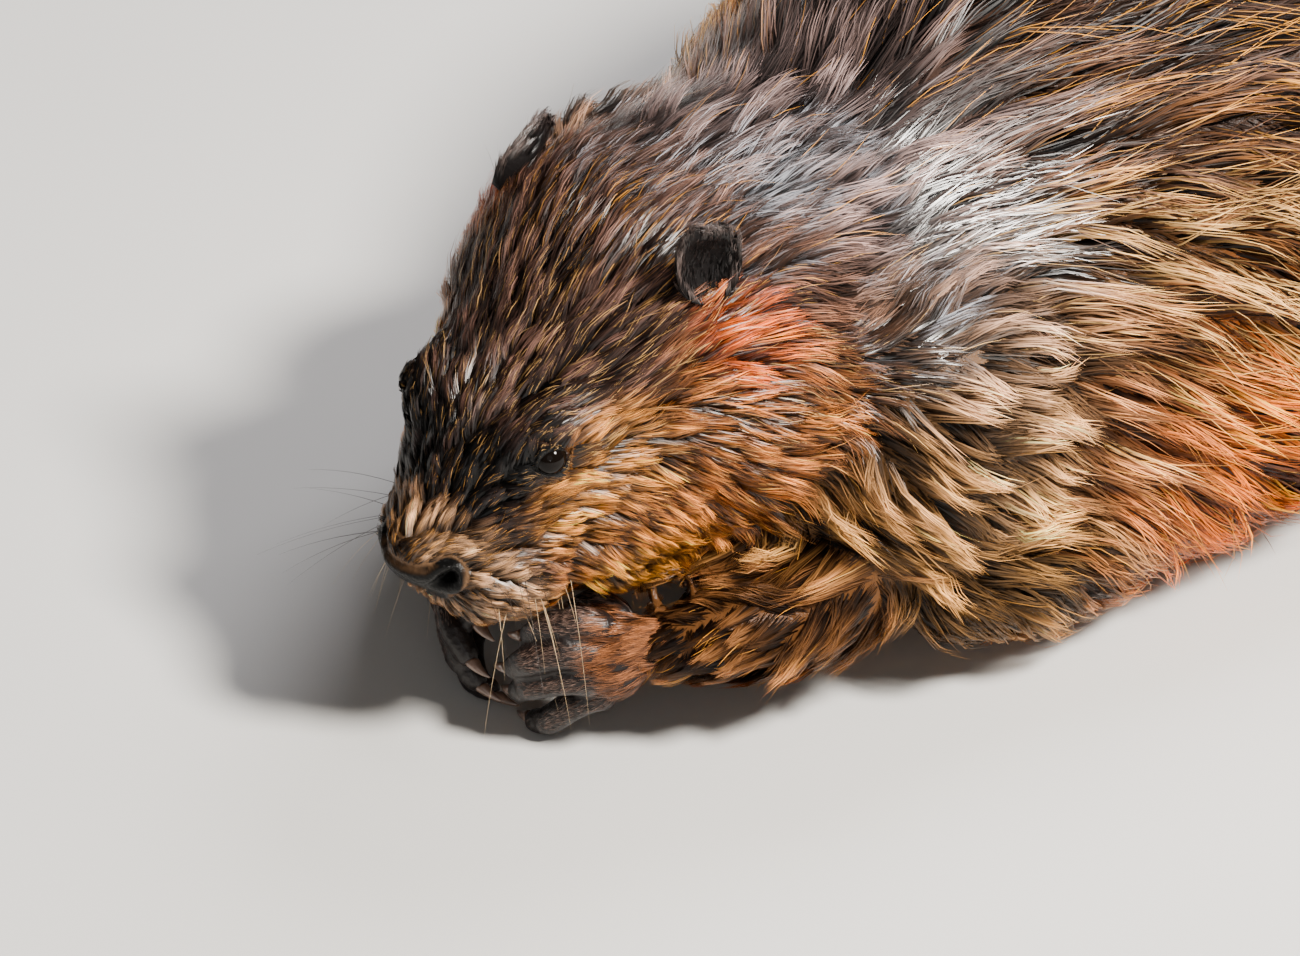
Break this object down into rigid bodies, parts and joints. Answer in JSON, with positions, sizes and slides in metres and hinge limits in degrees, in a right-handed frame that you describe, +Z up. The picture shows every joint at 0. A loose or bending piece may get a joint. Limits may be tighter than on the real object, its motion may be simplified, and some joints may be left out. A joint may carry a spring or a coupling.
{
  "type": "beaver",
  "caption": "Life-size North American beaver as a still museum model, crouched low with its forepaws held together under the muzzle and its flat tail laid behind.",
  "frame": {"origin": "on the ground, under the middle of the whole animal's bounding box", "axes": "+Z up, -Y the way the animal faces, +X towards its left side"},
  "size_m": [0.4102, 0.8508, 0.2708],
  "materials": {
    "coat": "wet brown fur",
    "bare_skin": "short-haired dark skin",
    "tail_scales": "scaly hide",
    "eye": "glossy",
    "claw": "horn, semi-gloss"
  },
  "bodies": {
    "root": {"chest": "coat", "ear_left": "coat", "ear_right": "coat", "eye_left": "eye", "eye_right": "eye", "foot_claw_left_1": "claw", "foot_claw_left_2": "claw", "foot_claw_left_3": "claw", "foot_claw_left_4": "claw", "foot_claw_left_5": "claw", "foot_claw_right_1": "claw", "foot_claw_right_2": "claw", "foot_claw_right_3": "claw", "foot_claw_right_4": "claw", "foot_claw_right_5": "claw", "forearm_left": "coat", "forearm_right": "coat", "hand_claw_left_1": "claw", "hand_claw_left_2": "claw", "hand_claw_left_3": "claw", "hand_claw_left_4": "claw", "hand_claw_left_5": "claw", "hand_claw_right_1": "claw", "hand_claw_right_2": "claw", "hand_claw_right_3": "claw", "hand_claw_right_4": "claw", "hand_claw_right_5": "claw", "hand_left": "bare_skin", "hand_right": "bare_skin", "head": "coat", "hind_foot_left": "bare_skin", "hind_foot_right": "bare_skin", "hind_leg_left": "coat", "hind_leg_right": "coat", "lower_jaw": "coat", "neck": "coat", "nose": "bare_skin", "rump": "coat", "tail": "tail_scales", "tail_root": "coat", "trunk": "coat", "upper_arm_left": "coat", "upper_arm_right": "coat"}
  },
  "joints": []
}
